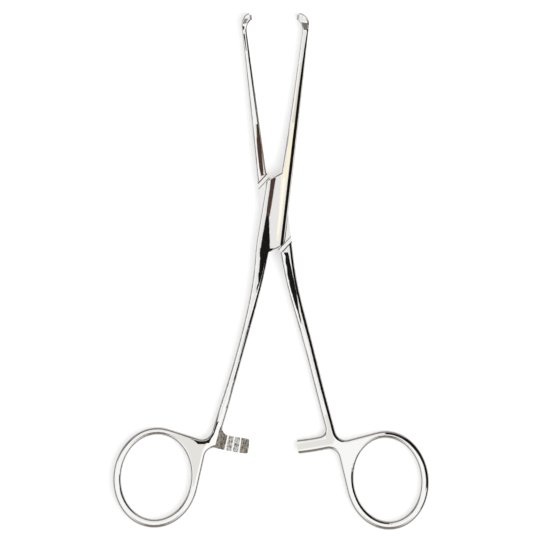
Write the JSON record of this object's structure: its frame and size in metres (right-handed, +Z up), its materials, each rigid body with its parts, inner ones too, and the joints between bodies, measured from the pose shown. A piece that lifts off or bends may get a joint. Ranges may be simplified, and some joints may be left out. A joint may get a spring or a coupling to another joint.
{
  "type": "allis tissue forceps",
  "caption": "Tissue forceps of polished steel with toothed jaws, a box lock, finger rings and a ratchet, lying flat and partly open.",
  "frame": {"origin": "on the lock pin's axis, at the underside of the box, which is the face the forceps lie on", "axes": "+Y towards the jaws along the line midway between the halves, +X to the right with the forceps seen from above, +Z up along the lock pin"},
  "size_m": [0.095, 0.1552, 0.0048],
  "materials": {
    "polished_steel": "mirror-polished stainless steel, satin on the milled ratchets",
    "pin_steel": "polished flush with the box"
  },
  "bodies": {
    "box_body": {"box_half": "polished_steel", "lock_pin": "pin_steel"},
    "tongue_body": {"tongue_half": "polished_steel"}
  },
  "joints": [
    {"name": "box_lock", "type": "hinge", "parent": "box_body", "child": "tongue_body", "pos_m": [0, 0, 0.0024], "axis": [0, 0, 1], "range_deg": [-13.7, 46]}
  ]
}
